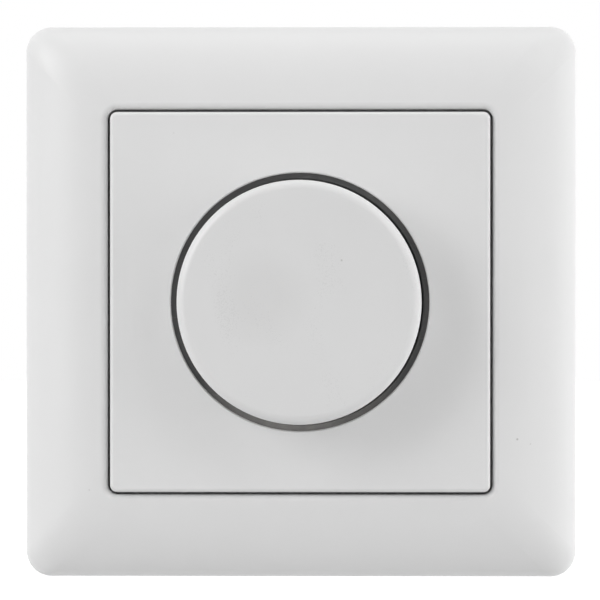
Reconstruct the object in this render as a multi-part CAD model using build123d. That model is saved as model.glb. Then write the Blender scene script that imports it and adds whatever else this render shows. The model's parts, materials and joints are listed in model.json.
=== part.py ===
from build123d import *
from math import cos, pi, radians, sin, sqrt
import os

# Flush-mounted rotary dimmer switch: a square cover frame round a flat centre plate with a push-and-turn
# knob, on an insert that sits in a round wall box. Sizes are in millimetres.
# Every piece is drawn facing +Z, with the wall's surface at z = 0, and is stood upright when it is written:
# the front then faces -Y, the top +Z, and the origin is the middle of the box screws on the wall's surface.

# Overall sizes
FRAME_SIDE = 80.5
FRAME_DEPTH = 9.2
PLATE_SIDE = 55.1
PLATE_FRONT = 9.8
KNOB_D = 35.0
KNOB_PROUD = 9.0
BOX_SPACING = 60.0
SUPPORT_SIDE = 71.0
HOUSING_W = 50.0
HOUSING_H = 41.0
HOUSING_DEPTH = 26.6
PRESS_TRAVEL = 1.3

# Clearances
SLIP = 0.15
RUN = 0.05
GAP = 0.3
OVER = 1.0

# Cover frame: a thin moulded shell, pillow-shaped in front, with a ledge that the centre plate clamps
FRAME_CORNER = 3.7
FRAME_EDGE = 2.4
FRAME_WALL = 1.8
PILLOW_OVERRUN = 0.9
PILLOW_ANGLES = (0, 13, 26, 39, 52, 65, 78, 90)
FRAME_LIP = 0.9
OPENING_GAP = 0.4
OPENING_CORNER = 1.4
OPENING_WALL = 1.6
LEDGE_LOW = 3.4
LEDGE_T = 1.2
LEDGE_REACH = 2.0
FRAME_RIB_T = 1.0
FRAME_RIB_LOW = 1.9
FRAME_RIBS = (-0.36, -0.15, 0.15, 0.36)

# Centre plate
PLATE_CORNER = 1.0
PLATE_EDGE = 0.55
PLATE_T = 1.8
PLATE_SKIRT = 1.6
KNOB_GAP = 1.25
HOLE_EDGE = 0.25
RING_T = 1.2
RING_H = 1.8
HOOK_W = 6.0
HOOK_T = 1.4
HOOK_BARB = 0.8
HOOK_BARB_H = 1.1
HOOK_DIRECTIONS = (45, 135, 225, 315)

# Plate carrier: the dark dish that the knob's skirt runs in
CARRIER_WALL = 1.6
CARRIER_FLOOR = 1.2
CARRIER_SLACK = 0.3
HUB_RISER_R = 11.6
HUB_RISER_T = 1.6
HUB_TOP = 5.7
LUG_REACH = 0.9
LUG_H = 1.2
LUG_LOW = 3.6
LUG_W = 7.0

# Knob
KNOB_EDGE = 1.3
KNOB_DRAFT = 0.2
KNOB_WALL = 2.0
KNOB_FACE = 2.2
KNOB_SKIRT_LOW = 4.2
KNOB_HUB_WALL = 2.2
KNOB_HUB_LOW = 10.5
KNOB_RIBS = 6
KNOB_RIB_T = 1.2
KNOB_RIB_LOW = 12.6
CLIP_T = 0.8
CLIP_H = 1.0
CLIP_LOW = 11.2
CLIP_SINK = 0.4
CLIP_ARC = 300

# Potentiometer
SHAFT_D = 6.0
SHAFT_FLAT = 1.5
SHAFT_FLAT_LOW = 9.6
SHAFT_END = 0.6
SHAFT_COLLAR_R = 3.9
SHAFT_COLLAR_H = 1.1
BUSHING_D = 10.0
BUSHING_TOP = 8.5
POT_SIDE = 17.0
POT_CORNER = 1.5
POT_FLANGE = 1.5
POT_LOW = 9.6
POT_FLOOR = 1.2
POT_CAVITY_R = 7.6
TRACK_T = 0.6
ROTOR_R = 6.6
ROTOR_HUB_WALL = 1.3
ROTOR_DISC_T = 2.0
WIPER_T = 0.2
WIPER_FINGER_W = 0.9
NUT_ACROSS = 14.0
BUSHING_NUT_H = 2.4
CARRIER_NUT_H = 2.2
WASHER_T = 0.6
WASHER_R = 7.4
WASHER_TEETH = 12
WASHER_NOTCH = 1.0

# Push switch under the potentiometer
SWITCH_SIDE = 14.0
SWITCH_CAVITY = 10.6
SWITCH_FLOOR = 0.8
SWITCH_CEILING = 1.7
BUTTON_TOP = 10.6
BUTTON_R = 3.0
BUTTON_H = 0.8
FLANGE_H = 0.8
STEM_R = 1.4
STEM_H = 2.4
BRIDGE_W = 2.4
BRIDGE_T = 0.3
CONTACT_W = 1.6
SPRING_R = 2.3
SPRING_WIRE = 0.4
SPRING_TURNS = 4

# Circuit board and what stands on it
BOARD_TOP = 17.0
BOARD_T = 1.6
PIN = 0.8
PIN_TAIL = 1.2
PITCH = 2.54
POT_PITCH = 5.0
STAND_OFF = 0.4
TRIAC_W = 10.0
TRIAC_BODY = 9.2
TRIAC_TAB = 6.4
TRIAC_T = 4.5
TRIAC_TAB_T = 1.3
TRIAC_LEAD = 1.5
PAD_T = 0.3
PAD_EDGE = 1.0
PAD_CORNER = 1.0
RIVET_R = 1.5
RIVET_HEAD_R = 2.4
RIVET_HEAD_H = 0.9
CHOKE_R = 7.2
CHOKE_BORE = 3.8
CHOKE_W = 6.0
CHOKE_WIRE = 0.7
CHOKE_TURNS = 20
CHOKE_EDGE = 0.5
FILM_CAP = (6.0, 13.0, 9.0)
FILM_EDGE = 0.8
CAN_R = 3.2
CAN_H = 9.0
CAN_GROOVE = 0.3
CAN_GROOVE_UP = 1.5
CHIP = (6.2, 9.4, 3.2)
RESISTOR_R = 1.1
RESISTOR_L = 5.4
FUSE_R = 2.5
FUSE_L = 20.0
FUSE_CAP_L = 5.0
FUSE_CLIP_L = 4.0
FUSE_WALL = 0.5
FUSE_WIRE_R = 0.2
CLIP_LEG_T = 0.5
CLIP_MOUTH = 0.75

# Support plate: zinc-plated steel that carries everything on the wall
SUPPORT_T = 1.2
SUPPORT_CORNER = 7.0
BOX_SLOT_W = 3.8
BOX_SLOT_L = 7.0
NOTCH = 1.6
HOUSING_SCREW_R = 1.4
HOUSING_SCREW_L = 9.0
HOUSING_SCREW_HEAD = 2.5
HOUSING_SCREW_HEAD_H = 1.1
RECESS_L = 1.4
RECESS_W = 0.35
RECESS_DEEP = 0.7

# Spreading claws, each pushed out by a nut that climbs its screw
CLAW_T = 1.0
CLAW_W = 12.0
CLAW_FORK = 7.2
CLAW_DEEP = 19.0
CLAW_TOE = 4.2
CLAW_TOE_ANGLE = 40
CLAW_TONGUE = 6.6
CLAW_PIVOT_DEPTH = 5.4
CLAW_PIVOT_OUT = 2.1
CLAW_PIN_R = 1.2
CLAW_ARM = 4.3
CLAW_SCREW_R = 1.5
CLAW_SCREW_L = 16.0
CLAW_HEAD_R = 2.6
CLAW_HEAD_H = 1.5
CLAW_NUT_R = 2.5
CLAW_NUT_W = 6.4
EAR_W = 3.8
EAR_IN = 0.2
EAR_DEEP = 7.6
EAR_SIDE_GAP = 0.2
EAR_WINDOW = 6.0
EAR_BEND = 0.9

# Housing, rear cover and screw terminals
HOUSING_CORNER = 12.0
HOUSING_WALL = 1.6
BOSS_R = 3.2
REAR_T = 1.6
REAR_EDGE = 0.6
SPIGOT_H = 1.2
SPIGOT_T = 1.2
POST_R = 1.5
SNAP_W = 8.0
SNAP_H = 1.0
SNAP_REACH = 1.2
SNAP_UP = 3.0
WIRE_HOLE_R = 1.75
WIRE_COLLAR_R = 3.4
WIRE_COLLAR_H = 1.4
WIRE_LEAD = 0.5
CAGE_THIN = 0.8
CAGE_THICK = 1.8
CAGE_W = 7.0
CAGE_SLOT_W = 3.9
CAGE_PITCH = 8.4
CAGE_EDGE = 0.6
WIRE_SPACE = 3.75
BAR_T = 1.0
TERMINAL_TRAVEL = 2.4
TERMINAL_SCREW_R = 1.5
TERMINAL_HEAD_R = 2.5
TERMINAL_HEAD_H = 1.6

# Sizes worked out from those above
OPENING_SIDE = PLATE_SIDE + 2 * OPENING_GAP
FRAME_BAR = (FRAME_SIDE - OPENING_SIDE) / 2
LEDGE_TOP = LEDGE_LOW + LEDGE_T
HOLE_R = KNOB_D / 2 + KNOB_GAP
CARRIER_BORE = HOLE_R + CARRIER_SLACK
CARRIER_R = CARRIER_BORE + CARRIER_WALL
PLATE_BACK = PLATE_FRONT - PLATE_T
KNOB_TOP = PLATE_FRONT + KNOB_PROUD
KNOB_R = KNOB_D / 2
SHAFT_R = SHAFT_D / 2
SHAFT_TOP = KNOB_TOP - KNOB_FACE - SHAFT_END
BUSHING_R = BUSHING_D / 2
ROTOR_HUB_R = SHAFT_R + RUN + ROTOR_HUB_WALL
POT_INNER_FLOOR = -POT_LOW + POT_FLOOR
SWITCH_INNER_TOP = -POT_LOW - SWITCH_CEILING
SWITCH_INNER_FLOOR = -BOARD_TOP + SWITCH_FLOOR
FLANGE_TOP = -BUTTON_TOP - BUTTON_H
FLANGE_LOW = FLANGE_TOP - FLANGE_H
BRIDGE_LOW = FLANGE_LOW - BRIDGE_T
BOARD_LOW = -BOARD_TOP - BOARD_T
HOUSING_LOW = -HOUSING_DEPTH
INNER_W = HOUSING_W - 2 * HOUSING_WALL
INNER_H = HOUSING_H - 2 * HOUSING_WALL
INNER_CORNER = HOUSING_CORNER - HOUSING_WALL
BOSS_OFF = (HOUSING_CORNER - HOUSING_WALL - BOSS_R + SLIP) / sqrt(2)
BOSSES = [(sx * (HOUSING_W / 2 - HOUSING_CORNER + BOSS_OFF), sy * (HOUSING_H / 2 - HOUSING_CORNER + BOSS_OFF))
          for sx in (-1, 1) for sy in (-1, 1)]
CLAW_PIVOT_Y = HOUSING_H / 2 + CLAW_PIVOT_OUT
CLAW_SCREW_Y = CLAW_PIVOT_Y + CLAW_ARM
CLAW_NUT_Z = -CLAW_PIVOT_DEPTH - CLAW_T / 2 - CLAW_NUT_R - RUN
CAGE_OUT = INNER_W / 2 - GAP - TERMINAL_TRAVEL
BAR_X = CAGE_OUT - CAGE_THICK - RUN - BAR_T / 2
WIRE_X = BAR_X - BAR_T / 2 - WIRE_SPACE / 2
CAGE_IN = WIRE_X - WIRE_SPACE / 2 - CAGE_THIN
TERMINALS = [(sx, sy * CAGE_PITCH / 2) for sx in (-1, 1) for sy in (-1, 1)]
TERMINAL_Z = (BOARD_LOW - PIN_TAIL + HOUSING_LOW) / 2
COMPONENT_X = POT_SIDE / 2 + GAP
TRIAC_X = -(COMPONENT_X + INNER_W / 2) / 2
CHOKE_X = COMPONENT_X + CHOKE_W / 2 + 2 * CHOKE_WIRE
CAN_X = CAN_R + GAP
CAN_Y = INNER_H / 2 - CAN_R - BOSS_R / 2
CHIP_Y = -POT_SIDE / 2 - GAP - CHIP[1] / 2
RESISTOR_X = -RESISTOR_L / 2 - PITCH
RESISTOR_Y = (CAN_Y - RESISTOR_R - GAP, CAN_Y + RESISTOR_R + GAP)
RIVET_AT = (TRIAC_X, TRIAC_BODY / 2)
FILM_X = -(BAR_X - PIN / 2 - GAP - FILM_CAP[0] / 2)

FLAT_DOWN = (Align.CENTER, Align.CENTER, Align.MIN)


def block(width, height, low, high, corner=0.0):
    """A block from depth low to depth high, with its upright edges rounded."""
    outline = RectangleRounded(width, height, corner) if corner else Rectangle(width, height)
    return extrude(Pos(0, 0, low) * outline, high - low)


def disc(radius, low, high):
    """A round bar along Z from depth low to depth high."""
    return Pos(0, 0, low) * Cylinder(radius, high - low, align=FLAT_DOWN)


def tube(outer, bore, low, high):
    return disc(outer, low, high) - disc(bore, low - OVER, high + OVER)


def d_bar(radius, flat, low, high):
    """A round bar with one flat side, whose flat lies at x = flat."""
    bar = disc(radius, low, high)
    side = 2 * radius
    return bar - Pos(flat + side / 2, 0, (low + high) / 2) * Box(side, 2 * side, high - low + OVER)


def post(x, y, wide, tall, low, high):
    """A square-edged block that stands at (x, y) from depth low to depth high."""
    return Pos(x, y, low) * Box(wide, tall, high - low, align=FLAT_DOWN)


def spun(points):
    """A solid turned about the Z axis from an outline of (radius, depth) points."""
    outline = make_face(Polyline(*[(r, 0, z) for r, z in points], close=True))
    return revolve(outline, Axis.Z)


def pins(places, low, high):
    """Square leads at the given places, which pass through the circuit board."""
    return [post(x, y, PIN, PIN, low, high) for x, y in places]


def turned_about(angle, thing):
    return Rot(0, 0, angle) * thing


# Places of the leads that are soldered through the board, by component
POT_PINS = [(k * POT_PITCH, -POT_SIDE / 2 + PIN) for k in (-1, 0, 1)]
CONTACT_X = SWITCH_CAVITY / 2 - CONTACT_W / 2 - GAP
CONTACT_PINS = [(-CONTACT_X, 0), (CONTACT_X, 0)]
TRIAC_PINS = [(TRIAC_X + k * PITCH, -(TRIAC_BODY + TRIAC_TAB) / 2 - TRIAC_LEAD) for k in (-1, 0, 1)]
CHOKE_PIN_Y = CHOKE_R + CHOKE_WIRE + RUN + PIN / 2
CHOKE_PINS = [(CHOKE_X, -CHOKE_PIN_Y), (CHOKE_X, CHOKE_PIN_Y)]
FILM_PINS = [(FILM_X, side * 2 * PITCH) for side in (-1, 1)]
CAN_PINS = [(CAN_X + side * PITCH / 2, CAN_Y) for side in (-1, 1)]
CHIP_PINS = [(sx * 1.5 * PITCH, CHIP_Y + sy * PITCH / 2) for sx in (-1, 1) for sy in (-1, 1)]
RESISTOR_PINS = [(RESISTOR_X + side * (RESISTOR_L / 2 + PIN), y) for y in RESISTOR_Y for side in (-1, 1)]
FUSE_X = (POT_PINS[-1][0] + CHOKE_X) / 2
FUSE_PINS = [(FUSE_X, side * (FUSE_L - FUSE_CAP_L) / 2) for side in (-1, 1)]


# Cover frame
def pillow(inset):
    """The frame's outer form, or the hollow one wall inside it: rounded squares up a quarter ellipse."""
    half = FRAME_SIDE / 2 - inset
    reach = FRAME_BAR + PILLOW_OVERRUN - inset
    rise = FRAME_DEPTH - FRAME_EDGE - inset
    rings = []
    for angle in PILLOW_ANGLES:
        side = 2 * (half - reach * (1 - cos(radians(angle))))
        height = FRAME_EDGE + rise * sin(radians(angle))
        rings.append((Pos(0, 0, height) * RectangleRounded(side, side, FRAME_CORNER - inset)).face())
    foot = block(2 * half, 2 * half, 0, FRAME_EDGE, FRAME_CORNER - inset)
    return foot + loft(rings)


def cover_frame():
    well = block(OPENING_SIDE, OPENING_SIDE, LEDGE_TOP, FRAME_DEPTH + OVER, OPENING_CORNER)
    body = pillow(0) - well
    lip = [e for e in body.edges() if e.center().Z > FRAME_DEPTH - FRAME_LIP
           and max(abs(e.center().X), abs(e.center().Y)) < OPENING_SIDE / 2 + RUN]
    body = fillet(lip, FRAME_LIP)
    wall_side = OPENING_SIDE + 2 * OPENING_WALL
    wall = block(wall_side, wall_side, LEDGE_LOW, FRAME_DEPTH, OPENING_CORNER + OPENING_WALL)
    hollow = pillow(FRAME_WALL) - wall
    hollow += block(FRAME_SIDE - 2 * FRAME_WALL, FRAME_SIDE - 2 * FRAME_WALL, -OVER, OVER,
                    FRAME_CORNER - FRAME_WALL)
    for turn in range(4):
        for share in FRAME_RIBS:
            middle = (FRAME_SIDE + OPENING_SIDE) / 4
            rib = Pos(middle, share * FRAME_SIDE, (FRAME_RIB_LOW + FRAME_DEPTH) / 2) * Box(
                FRAME_BAR, FRAME_RIB_T, FRAME_DEPTH - FRAME_RIB_LOW)
            hollow -= turned_about(90 * turn, rib)
    through = OPENING_SIDE - 2 * LEDGE_REACH
    return body - hollow - block(through, through, -OVER, FRAME_DEPTH, OPENING_CORNER)


# Centre plate
def centre_plate():
    body = block(PLATE_SIDE, PLATE_SIDE, LEDGE_TOP, PLATE_FRONT, PLATE_CORNER)
    body = fillet(body.faces().sort_by(Axis.Z)[-1].outer_wire().edges(), PLATE_EDGE)
    inside = PLATE_SIDE - 2 * PLATE_SKIRT
    body -= block(inside, inside, LEDGE_TOP - OVER, PLATE_BACK)
    ring_bore = CARRIER_R + CARRIER_SLACK
    body += tube(ring_bore + RING_T, ring_bore, PLATE_BACK - RING_H, PLATE_BACK)
    body -= disc(HOLE_R, 0, PLATE_FRONT + OVER)
    body -= spun([(HOLE_R, PLATE_FRONT - HOLE_EDGE), (HOLE_R + HOLE_EDGE, PLATE_FRONT + SLIP),
                  (HOLE_R, PLATE_FRONT + SLIP)])
    arm_in = CARRIER_R + LUG_REACH + SLIP
    barb_top = LUG_LOW - SLIP / 2
    barb_low = barb_top - HOOK_BARB_H
    arm_out = arm_in + HOOK_T
    outline = Polyline((arm_in, 0, PLATE_BACK), (arm_out, 0, PLATE_BACK), (arm_out, 0, barb_low),
                       (arm_in, 0, barb_low), (arm_in - HOOK_BARB, 0, barb_top), (arm_in, 0, barb_top),
                       close=True)
    hook = Pos(0, HOOK_W / 2, 0) * extrude(make_face(outline), HOOK_W, dir=(0, -1, 0))
    for direction in HOOK_DIRECTIONS:
        body += turned_about(direction, hook)
    return body


def plate_carrier():
    body = spun([(CARRIER_BORE, PLATE_BACK), (CARRIER_R, PLATE_BACK), (CARRIER_R, SUPPORT_T),
                 (HUB_RISER_R - HUB_RISER_T, SUPPORT_T), (HUB_RISER_R - HUB_RISER_T, HUB_TOP - CARRIER_FLOOR),
                 (BUSHING_R + SLIP, HUB_TOP - CARRIER_FLOOR), (BUSHING_R + SLIP, HUB_TOP),
                 (HUB_RISER_R, HUB_TOP), (HUB_RISER_R, SUPPORT_T + CARRIER_FLOOR),
                 (CARRIER_BORE, SUPPORT_T + CARRIER_FLOOR)])
    lug_r = (CARRIER_BORE + CARRIER_R) / 2
    lug = Pos(lug_r, 0, LUG_LOW) * Box(CARRIER_R + LUG_REACH - lug_r, LUG_W, LUG_H,
                                       align=(Align.MIN, Align.CENTER, Align.MIN))
    for direction in HOOK_DIRECTIONS:
        body += turned_about(direction, lug)
    return body


# Knob
def knob():
    inner = KNOB_R - KNOB_WALL
    ceiling = KNOB_TOP - KNOB_FACE
    body = spun([(0, KNOB_TOP), (KNOB_R, KNOB_TOP), (KNOB_R + KNOB_DRAFT, KNOB_SKIRT_LOW),
                 (inner + KNOB_DRAFT, KNOB_SKIRT_LOW), (inner, ceiling), (0, ceiling)])
    rim = body.edges().filter_by(GeomType.CIRCLE).sort_by(Axis.Z)[-1]
    body = fillet(rim, KNOB_EDGE)
    hub_r = SHAFT_R + KNOB_HUB_WALL
    body += disc(hub_r, KNOB_HUB_LOW, ceiling)
    rib_reach = inner + KNOB_DRAFT / 2
    rib = post((hub_r + rib_reach) / 2, 0, rib_reach - hub_r + SLIP, KNOB_RIB_T, KNOB_RIB_LOW, ceiling)
    for k in range(KNOB_RIBS):
        body += turned_about(360 * k / KNOB_RIBS, rib)
    body -= d_bar(SHAFT_R + RUN, SHAFT_FLAT + RUN, KNOB_HUB_LOW - OVER, SHAFT_TOP + RUN)
    return body - tube(hub_r + OVER, hub_r - CLIP_SINK, CLIP_LOW, CLIP_LOW + CLIP_H)


def knob_clip():
    """An open spring ring that closes the knob's hub on to the shaft."""
    low = SHAFT_R + KNOB_HUB_WALL - CLIP_SINK
    section = Pos(low, 0, CLIP_LOW) * Rot(90, 0, 0) * Rectangle(CLIP_T, CLIP_H, align=(Align.MIN, Align.MIN))
    return revolve(section, Axis.Z, CLIP_ARC)


# Potentiometer
def pot_shaft():
    body = disc(SHAFT_R, -SHAFT_COLLAR_H - POT_FLANGE, SHAFT_FLAT_LOW)
    body += d_bar(SHAFT_R, SHAFT_FLAT, SHAFT_FLAT_LOW, SHAFT_TOP)
    body += d_bar(SHAFT_R, SHAFT_FLAT, -BUTTON_TOP, -SHAFT_COLLAR_H - POT_FLANGE)
    collar_top = -POT_FLANGE - RUN
    return body + disc(SHAFT_COLLAR_R, collar_top - SHAFT_COLLAR_H, collar_top)


def pot_bushing():
    flange = block(POT_SIDE, POT_SIDE, -POT_FLANGE, 0, POT_CORNER)
    return flange + disc(BUSHING_R, 0, BUSHING_TOP) - disc(SHAFT_R + RUN, -POT_LOW, BUSHING_TOP + OVER)


def pot_case():
    body = block(POT_SIDE, POT_SIDE, -POT_LOW, -POT_FLANGE, POT_CORNER)
    body -= disc(POT_CAVITY_R, POT_INNER_FLOOR, 0)
    return body - disc(SHAFT_R + SLIP, -POT_LOW - OVER, 0)


def pot_track():
    return tube(POT_CAVITY_R - RUN, ROTOR_HUB_R + SLIP, POT_INNER_FLOOR, POT_INNER_FLOOR + TRACK_T)


ROTOR_TOP = -POT_FLANGE - RUN - SHAFT_COLLAR_H - PRESS_TRAVEL - SLIP


def pot_rotor():
    """Turns with the shaft, which slides through its flat-sided bore."""
    low = POT_INNER_FLOOR + RUN
    disc_low = ROTOR_TOP - ROTOR_DISC_T
    rim_top = -POT_FLANGE - RUN
    cup_r = SHAFT_COLLAR_R + SLIP
    body = spun([(0, low), (ROTOR_HUB_R, low), (ROTOR_HUB_R, disc_low), (ROTOR_R, disc_low),
                 (ROTOR_R, rim_top), (cup_r, rim_top), (cup_r, ROTOR_TOP), (0, ROTOR_TOP)])
    return body - d_bar(SHAFT_R + RUN, SHAFT_FLAT + RUN, low - OVER, ROTOR_TOP + OVER)


def pot_wiper():
    """A bronze ring under the rotor, with two fingers that reach down to the track."""
    top = ROTOR_TOP - ROTOR_DISC_T
    drop = top - WIPER_T - (POT_INNER_FLOOR + TRACK_T + RUN)
    middle = (ROTOR_HUB_R + RUN + ROTOR_R) / 2
    body = tube(ROTOR_R, ROTOR_HUB_R + RUN, top - WIPER_T, top)
    finger = post(middle, 0, WIPER_FINGER_W, 2 * WIPER_T, top - WIPER_T - drop, top - WIPER_T)
    return body + finger + turned_about(180, finger)


def pot_pins():
    return pins(POT_PINS, BOARD_LOW - PIN_TAIL, -POT_LOW)


def hex_nut(low, height):
    outline = RegularPolygon(NUT_ACROSS / 2, 6, major_radius=False)
    body = extrude(Pos(0, 0, low) * outline, height)
    cone_r = NUT_ACROSS / 2 + height / 2
    body &= Pos(0, 0, low) * Cone(cone_r + height / 2, cone_r - height / 2, height, align=FLAT_DOWN)
    return body - disc(BUSHING_R + RUN, low - OVER, low + height + OVER)


def lock_washer():
    body = tube(WASHER_R, BUSHING_R + SLIP, SUPPORT_T, SUPPORT_T + WASHER_T)
    notch = Pos(WASHER_R, 0, SUPPORT_T + WASHER_T / 2) * Rot(0, 0, 45) * Box(
        WASHER_NOTCH, WASHER_NOTCH, WASHER_T + OVER)
    for k in range(WASHER_TEETH):
        body -= turned_about(360 * k / WASHER_TEETH, notch)
    return body


# Push switch
def switch_case():
    body = block(SWITCH_SIDE, SWITCH_SIDE, -BOARD_TOP, -POT_LOW, POT_CORNER)
    body -= block(SWITCH_CAVITY, SWITCH_CAVITY, SWITCH_INNER_FLOOR, SWITCH_INNER_TOP)
    body -= disc(SHAFT_R + GAP, SWITCH_INNER_TOP - RUN, 0)
    for x, y in CONTACT_PINS:
        body -= post(x, y, PIN + 2 * RUN, PIN + 2 * RUN, -BOARD_TOP - OVER, SWITCH_INNER_FLOOR + OVER)
    return body


def switch_plunger():
    side = SWITCH_CAVITY - 2 * SLIP
    return (disc(BUTTON_R, FLANGE_TOP, -BUTTON_TOP) + block(side, side, FLANGE_LOW, FLANGE_TOP)
            + disc(STEM_R, FLANGE_LOW - STEM_H, FLANGE_LOW))


def contact_bridge():
    strip = block(SWITCH_CAVITY - 4 * SLIP, BRIDGE_W, BRIDGE_LOW, FLANGE_LOW)
    strip += disc(SPRING_R + SPRING_WIRE, BRIDGE_LOW, FLANGE_LOW)
    return strip - disc(STEM_R + RUN, BRIDGE_LOW - OVER, FLANGE_LOW + OVER)


def fixed_contacts():
    top = BRIDGE_LOW - PRESS_TRAVEL - RUN
    posts = []
    for (x, y), lead in zip(CONTACT_PINS, pins(CONTACT_PINS, BOARD_LOW - PIN_TAIL, SWITCH_INNER_FLOOR)):
        posts.append(lead + post(x, y, CONTACT_W, BRIDGE_W, SWITCH_INNER_FLOOR, top))
    return posts


def return_spring():
    """A coil spring between the switch's floor and the contact bridge."""
    height = BRIDGE_LOW - SWITCH_INNER_FLOOR - SPRING_WIRE - 2 * RUN
    foot = SWITCH_INNER_FLOOR + SPRING_WIRE / 2 + RUN
    path = Pos(0, 0, foot) * Helix(height / SPRING_TURNS, height, SPRING_R)
    start = Plane(origin=path @ 0, z_dir=path % 0)
    return sweep(start * Circle(SPRING_WIRE / 2), path=path)


# Circuit board and components
def circuit_board():
    body = block(INNER_W - 2 * SLIP, INNER_H - 2 * SLIP, BOARD_LOW, -BOARD_TOP, INNER_CORNER - SLIP)
    for x, y in POT_PINS + CONTACT_PINS + TRIAC_PINS + CHOKE_PINS + FILM_PINS + CAN_PINS + CHIP_PINS \
            + RESISTOR_PINS + FUSE_PINS + [(sx * BAR_X, y) for sx, y in TERMINALS]:
        body -= Pos(x, y, 0) * disc(PIN / sqrt(2) + RUN, BOARD_LOW - OVER, -BOARD_TOP + OVER)
    return body


def triac():
    """A power package whose metal tab lies on the support plate to shed its heat."""
    top = -PAD_T
    length = TRIAC_BODY + TRIAC_TAB
    body = post(TRIAC_X, 0, TRIAC_W, length, top - TRIAC_TAB_T, top)
    body -= Pos(*RIVET_AT, 0) * disc(RIVET_R + SLIP, -TRIAC_T - OVER, OVER)
    body += post(TRIAC_X, -TRIAC_TAB / 2, TRIAC_W, TRIAC_BODY, top - TRIAC_T, top)
    lead_top = top - TRIAC_T / 2
    for x, y in TRIAC_PINS:
        body += post(x, y, PIN, PIN, BOARD_LOW - PIN_TAIL, lead_top)
        reach = -length / 2 + PIN - y
        body += post(x, y + reach / 2 - PIN / 4, PIN, reach + PIN / 2, lead_top - PIN, lead_top)
    return body


def insulating_pad():
    wide = TRIAC_W + 2 * PAD_EDGE
    long = TRIAC_BODY + TRIAC_TAB + 2 * PAD_EDGE
    pad = Pos(TRIAC_X, 0, 0) * block(wide, long, -PAD_T, 0, PAD_CORNER)
    return pad - Pos(*RIVET_AT, 0) * disc(RIVET_R + SLIP, -OVER, OVER)


def triac_rivet():
    """Its front head lies flush in the support plate, under the plate carrier."""
    low = -PAD_T - TRIAC_TAB_T
    rivet = disc(RIVET_R, low, SUPPORT_T) + disc(RIVET_HEAD_R, low - RIVET_HEAD_H, low)
    return Pos(*RIVET_AT, 0) * (rivet + rivet_cone(0))


def rivet_cone(extra):
    low = SUPPORT_T - RIVET_HEAD_H
    return Pos(0, 0, low) * Cone(RIVET_R + extra, RIVET_HEAD_R + extra, RIVET_HEAD_H, align=FLAT_DOWN)


def choke_core():
    ring = Cylinder(CHOKE_R, CHOKE_W) - Cylinder(CHOKE_BORE, CHOKE_W + OVER)
    ring = fillet(ring.edges().filter_by(GeomType.CIRCLE), CHOKE_EDGE)
    return Pos(CHOKE_X, 0, -BOARD_TOP + CHOKE_R + CHOKE_WIRE) * Rot(0, 90, 0) * ring


def choke_winding():
    """The turns round the choke's core, each a square loop, and the two ends that go down to the board."""
    wide = CHOKE_W + 2 * CHOKE_WIRE
    deep = CHOKE_R - CHOKE_BORE + 2 * CHOKE_WIRE
    loop = Rectangle(deep, wide) - Rectangle(deep - 2 * CHOKE_WIRE + 2 * RUN, CHOKE_W + 2 * RUN)
    middle = (CHOKE_R + CHOKE_BORE) / 2
    turn = Pos(middle, 0, 0) * Rot(90, 0, 0) * extrude(loop, CHOKE_WIRE / 2, both=True)
    up = -BOARD_TOP + CHOKE_R + CHOKE_WIRE
    turns = [Pos(CHOKE_X, 0, up) * Rot(0, 90, 0) * turned_about(360 * (k + 0.5) / CHOKE_TURNS, turn)
             for k in range(CHOKE_TURNS)]
    return turns + pins(CHOKE_PINS, BOARD_LOW - PIN_TAIL, up)


def film_capacitor():
    wide, long, high = FILM_CAP
    case = post(FILM_X, 0, wide, long, -BOARD_TOP, -BOARD_TOP + high)
    case = fillet(case.edges().filter_by(Axis.Z), FILM_EDGE)
    return case + pins(FILM_PINS, BOARD_LOW - PIN_TAIL, -BOARD_TOP)


def smoothing_capacitor():
    low = -BOARD_TOP
    groove = low + CAN_GROOVE_UP
    can = spun([(0, low), (CAN_R, low), (CAN_R, groove - CAN_GROOVE), (CAN_R - CAN_GROOVE, groove),
                (CAN_R, groove + CAN_GROOVE), (CAN_R, low + CAN_H), (0, low + CAN_H)])
    return Pos(CAN_X, CAN_Y, 0) * can + pins(CAN_PINS, BOARD_LOW - PIN_TAIL, low)


def control_chip():
    wide, long, high = CHIP
    low = -BOARD_TOP + STAND_OFF
    case = post(0, CHIP_Y, wide, long, low, low + high)
    for x, y in CHIP_PINS:
        case += post(x, y, PIN, PIN, BOARD_LOW - PIN_TAIL, low + high / 2)
        case += post(x / 2, y, abs(x) + PIN, PIN, low + high / 2 - PIN, low + high / 2)
    return case


def resistors():
    """Two axial resistors, each with its leads bent down into the board."""
    group = []
    rise = -BOARD_TOP + RESISTOR_R + STAND_OFF
    for y in RESISTOR_Y:
        places = [place for place in RESISTOR_PINS if place[1] == y]
        one = Pos(RESISTOR_X, y, rise) * Rot(0, 90, 0) * Cylinder(RESISTOR_R, RESISTOR_L)
        one += Pos(RESISTOR_X, y, rise) * Box(places[1][0] - places[0][0] + PIN, PIN, PIN)
        for lead in pins(places, BOARD_LOW - PIN_TAIL, rise):
            one += lead
        group.append(one)
    return group


# Fuse, held in two clips under the board
FUSE_Z = BOARD_LOW - FUSE_R - CLIP_LEG_T - RUN


def along_y(thing):
    return Pos(FUSE_X, 0, FUSE_Z) * Rot(90, 0, 0) * thing


def fuse_tube():
    length = FUSE_L - 2 * CLIP_LEG_T
    return along_y(Cylinder(FUSE_R - FUSE_WALL, length) - Cylinder(FUSE_R - 2 * FUSE_WALL, length + OVER))


def fuse_caps():
    caps = []
    for side in (-1, 1):
        cap = Cylinder(FUSE_R, FUSE_CAP_L)
        cap -= Pos(0, 0, -side * CLIP_LEG_T) * Cylinder(FUSE_R - FUSE_WALL + RUN / 2, FUSE_CAP_L)
        caps.append(along_y(Pos(0, 0, side * (FUSE_L - FUSE_CAP_L) / 2) * cap))
    return caps


def fuse_wire():
    return along_y(Cylinder(FUSE_WIRE_R, FUSE_L - 2 * CLIP_LEG_T))


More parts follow.
